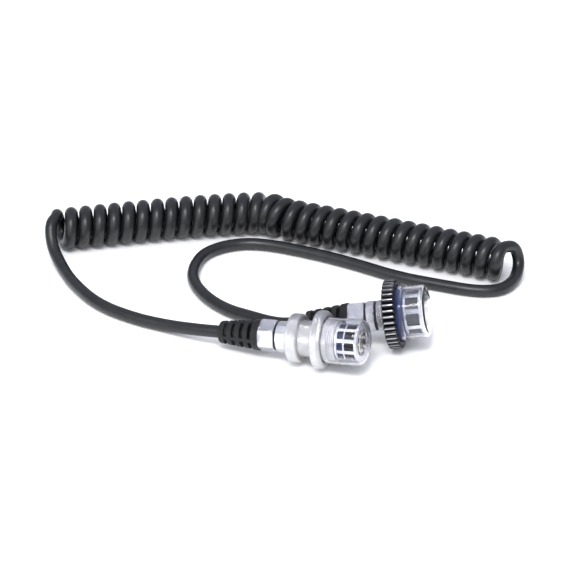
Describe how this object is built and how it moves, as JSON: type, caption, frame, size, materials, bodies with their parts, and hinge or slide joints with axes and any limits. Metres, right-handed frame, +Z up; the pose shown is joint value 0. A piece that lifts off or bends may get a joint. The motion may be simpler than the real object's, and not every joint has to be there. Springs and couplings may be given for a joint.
{
  "type": "coiled flash sync cord",
  "caption": "Coiled black sync cord with a waterproof multi-contact screw plug at each end, one with a silver thumb nut and one with a fluted black ring, each under a clear push-on cap.",
  "frame": {"origin": "the floor point under the middle of the two plugs' box", "axes": "+X from the coil's left end to its right end, the way both plugs' noses point; +Z up from the floor; -Y from the coil towards the plugs"},
  "size_m": [0.2095, 0.1362, 0.0291],
  "materials": {
    "jacket_rubber": "satin",
    "boot_rubber": "matte",
    "seal_rubber": "matte",
    "blue_rubber": "satin",
    "polished_steel": "polished",
    "satin_aluminium": "satin",
    "steel_washer": "brushed",
    "black_ring": "gloss",
    "clear_plastic": "clear",
    "black_insulator": "matte",
    "contact_gold": "polished",
    "core_insulation": "satin"
  },
  "bodies": {
    "cord_and_plugs": {"strain_relief_a": "boot_rubber", "cable_stub_a": "jacket_rubber", "cable_bush_a": "seal_rubber", "gland_nut_a": "polished_steel", "shell_seal_a": "seal_rubber", "back_shell_a": "polished_steel", "thrust_washer_a": "steel_washer", "core_a_1": "core_insulation", "core_a_2": "core_insulation", "core_a_3": "core_insulation", "core_a_4": "core_insulation", "core_a_5": "core_insulation", "plug_body_a": "polished_steel", "snap_ring_a": "steel_washer", "seal_ring_a": "blue_rubber", "key_barrel_a": "polished_steel", "contact_insert_a": "black_insulator", "pin_a_1": "contact_gold", "pin_a_2": "contact_gold", "pin_a_3": "contact_gold", "pin_a_4": "contact_gold", "pin_a_5": "contact_gold", "strain_relief_b": "boot_rubber", "cable_stub_b": "jacket_rubber", "cable_bush_b": "seal_rubber", "gland_nut_b": "polished_steel", "shell_seal_b": "seal_rubber", "back_shell_b": "polished_steel", "thrust_washer_b": "steel_washer", "core_b_1": "core_insulation", "core_b_2": "core_insulation", "core_b_3": "core_insulation", "core_b_4": "core_insulation", "core_b_5": "core_insulation", "shell_band_b": "seal_rubber", "plug_body_b": "polished_steel", "spring_washer_b": "steel_washer", "face_gasket_b": "blue_rubber", "key_barrel_b": "polished_steel", "contact_insert_b": "black_insulator", "pin_b_1": "contact_gold", "pin_b_2": "contact_gold", "pin_b_3": "contact_gold", "pin_b_4": "contact_gold", "pin_b_5": "contact_gold", "cord_lead_a": "jacket_rubber", "cord_coil": "jacket_rubber", "cord_lead_b": "jacket_rubber"},
    "thumb_nut": {"thumb_nut": "satin_aluminium"},
    "cap_a": {"cap_a": "clear_plastic"},
    "coupling_ring": {"coupling_ring": "black_ring"},
    "cap_b": {"cap_b": "clear_plastic"}
  },
  "joints": [
    {"name": "thumb_nut_spin", "type": "hinge", "parent": "cord_and_plugs", "child": "thumb_nut", "pos_m": [-0.00325, -0.00768, 0.01182], "axis": [0.9345, -0.3364, 0.1163], "continuous": true},
    {"name": "cap_a_pull", "type": "slide", "parent": "thumb_nut", "child": "cap_a", "axis": [0.9345, -0.3364, 0.1163], "range_m": [0, 0.024]},
    {"name": "coupling_ring_spin", "type": "hinge", "parent": "cord_and_plugs", "child": "coupling_ring", "pos_m": [0.02565, 0.00848, 0.01405], "axis": [0.9722, -0.1384, 0.189], "continuous": true},
    {"name": "cap_b_pull", "type": "slide", "parent": "cord_and_plugs", "child": "cap_b", "axis": [0.9722, -0.1384, 0.189], "range_m": [0, 0.018]}
  ]
}
